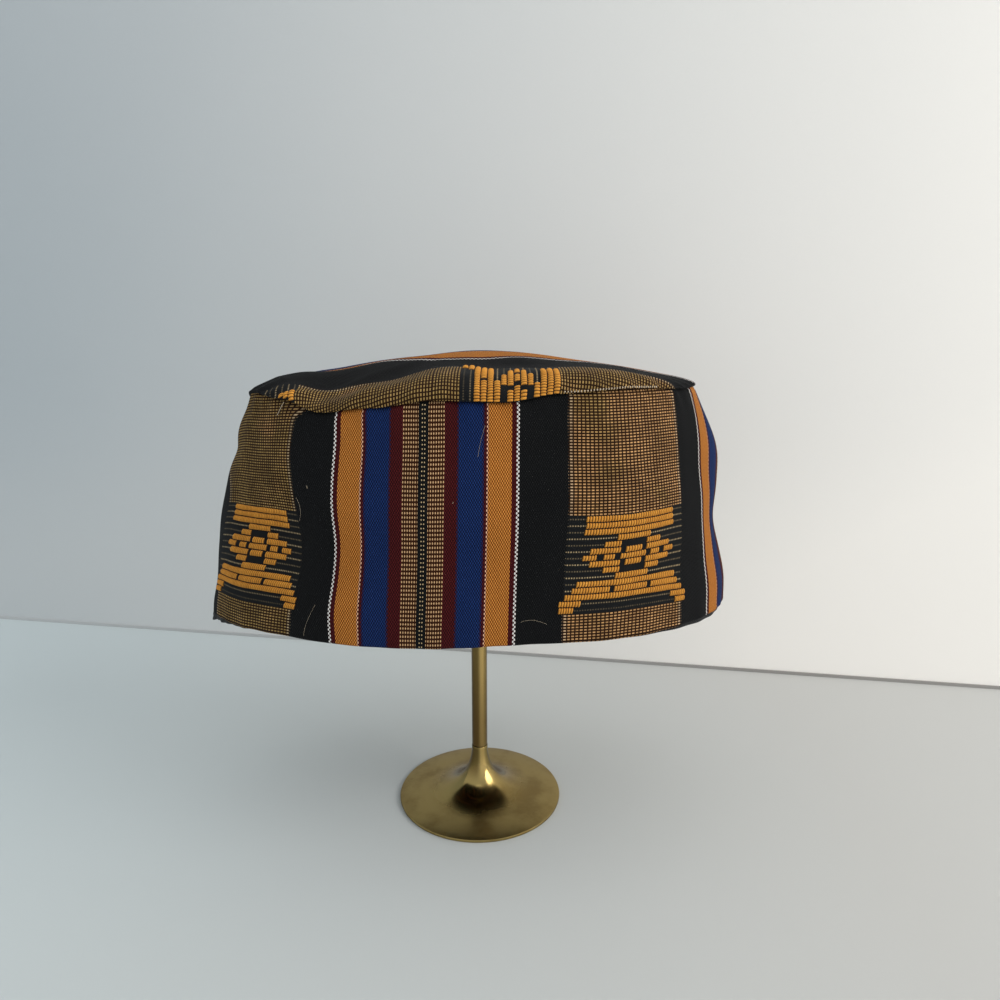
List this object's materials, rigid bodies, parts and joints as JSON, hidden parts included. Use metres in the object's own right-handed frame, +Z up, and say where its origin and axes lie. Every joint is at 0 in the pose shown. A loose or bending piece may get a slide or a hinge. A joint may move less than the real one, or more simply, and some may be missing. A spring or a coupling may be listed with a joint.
{
  "type": "kufi cap on a brass stand",
  "caption": "Soft brimless kufi cap of striped and brocaded cotton, a long oval with a low crown, hanging on a slender brass display stand.",
  "frame": {"origin": "centre of the flat underside of the stand's foot", "axes": "+Z up along the stem, the cap's front towards -Y, the cap's long way along X, +X to the wearer's left"},
  "size_m": [0.2336, 0.1318, 0.214],
  "materials": {
    "brass": "polished, lightly tarnished",
    "band_cotton": "woven stripes of gold, blue, maroon and black with raised gold brocade floats, matt",
    "crown_cotton": "the same striped and brocaded cloth, stripes lying across the cap, matt",
    "facing_cotton": "plain black cotton, matt"
  },
  "bodies": {
    "root": {"stand_foot": "brass", "stand_stem": "brass", "stand_head": "brass", "side_band": "band_cotton", "crown_top": "crown_cotton", "hem_facing": "facing_cotton"}
  },
  "joints": []
}
